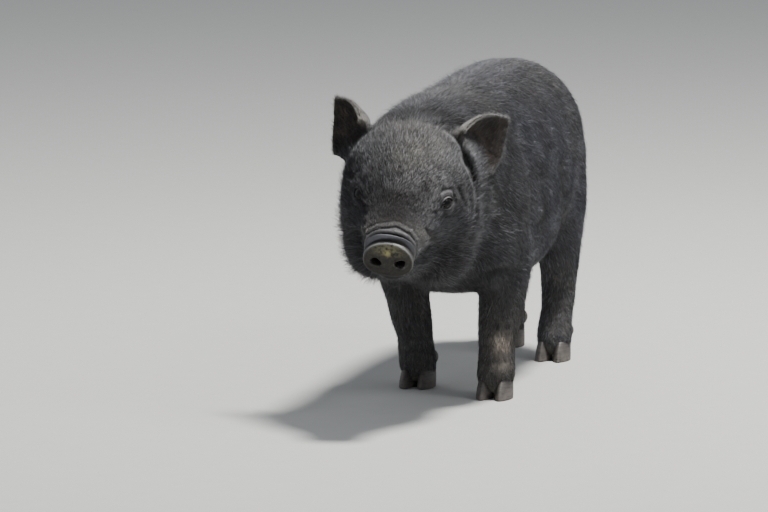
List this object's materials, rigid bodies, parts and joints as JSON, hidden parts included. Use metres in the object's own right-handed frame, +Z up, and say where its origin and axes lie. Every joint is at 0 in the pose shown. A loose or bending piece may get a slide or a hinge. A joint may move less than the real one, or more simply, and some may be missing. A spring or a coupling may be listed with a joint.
{
  "type": "pot-bellied piglet",
  "caption": "Life-size standing pot-bellied piglet with black bristles, lowered head, upright ears and straight tail; a still display model.",
  "frame": {"origin": "centre of the bounding box at floor level, under the belly", "axes": "+Z up, the pig faces -Y, its left side is +X"},
  "size_m": [0.1226, 0.4418, 0.2271],
  "materials": {
    "coat": "short sparse black bristle over dark grey skin, dusty on the forehead and rump",
    "nose_skin": "bare dark grey rooting disc with dried mud along its top",
    "eye": "wet dark brown eyeball",
    "claw_horn": "dark horn, scuffed and dusty toward the toe"
  },
  "bodies": {
    "root": {"ear_left": "coat", "ear_right": "coat", "eye_left": "eye", "eye_right": "eye", "foreleg_left_claw_inner": "claw_horn", "foreleg_left_claw_outer": "claw_horn", "foreleg_left_dewclaw_inner": "claw_horn", "foreleg_left_dewclaw_outer": "claw_horn", "foreleg_left_lower": "coat", "foreleg_left_upper": "coat", "foreleg_right_claw_inner": "claw_horn", "foreleg_right_claw_outer": "claw_horn", "foreleg_right_dewclaw_inner": "claw_horn", "foreleg_right_dewclaw_outer": "claw_horn", "foreleg_right_lower": "coat", "foreleg_right_upper": "coat", "head": "coat", "hindleg_left_claw_inner": "claw_horn", "hindleg_left_claw_outer": "claw_horn", "hindleg_left_dewclaw_inner": "claw_horn", "hindleg_left_dewclaw_outer": "claw_horn", "hindleg_left_lower": "coat", "hindleg_left_upper": "coat", "hindleg_right_claw_inner": "claw_horn", "hindleg_right_claw_outer": "claw_horn", "hindleg_right_dewclaw_inner": "claw_horn", "hindleg_right_dewclaw_outer": "claw_horn", "hindleg_right_lower": "coat", "hindleg_right_upper": "coat", "jaw": "coat", "neck": "coat", "nose_disc": "nose_skin", "tail": "coat", "trunk_barrel": "coat", "trunk_fore": "coat", "trunk_hind": "coat"}
  },
  "joints": []
}
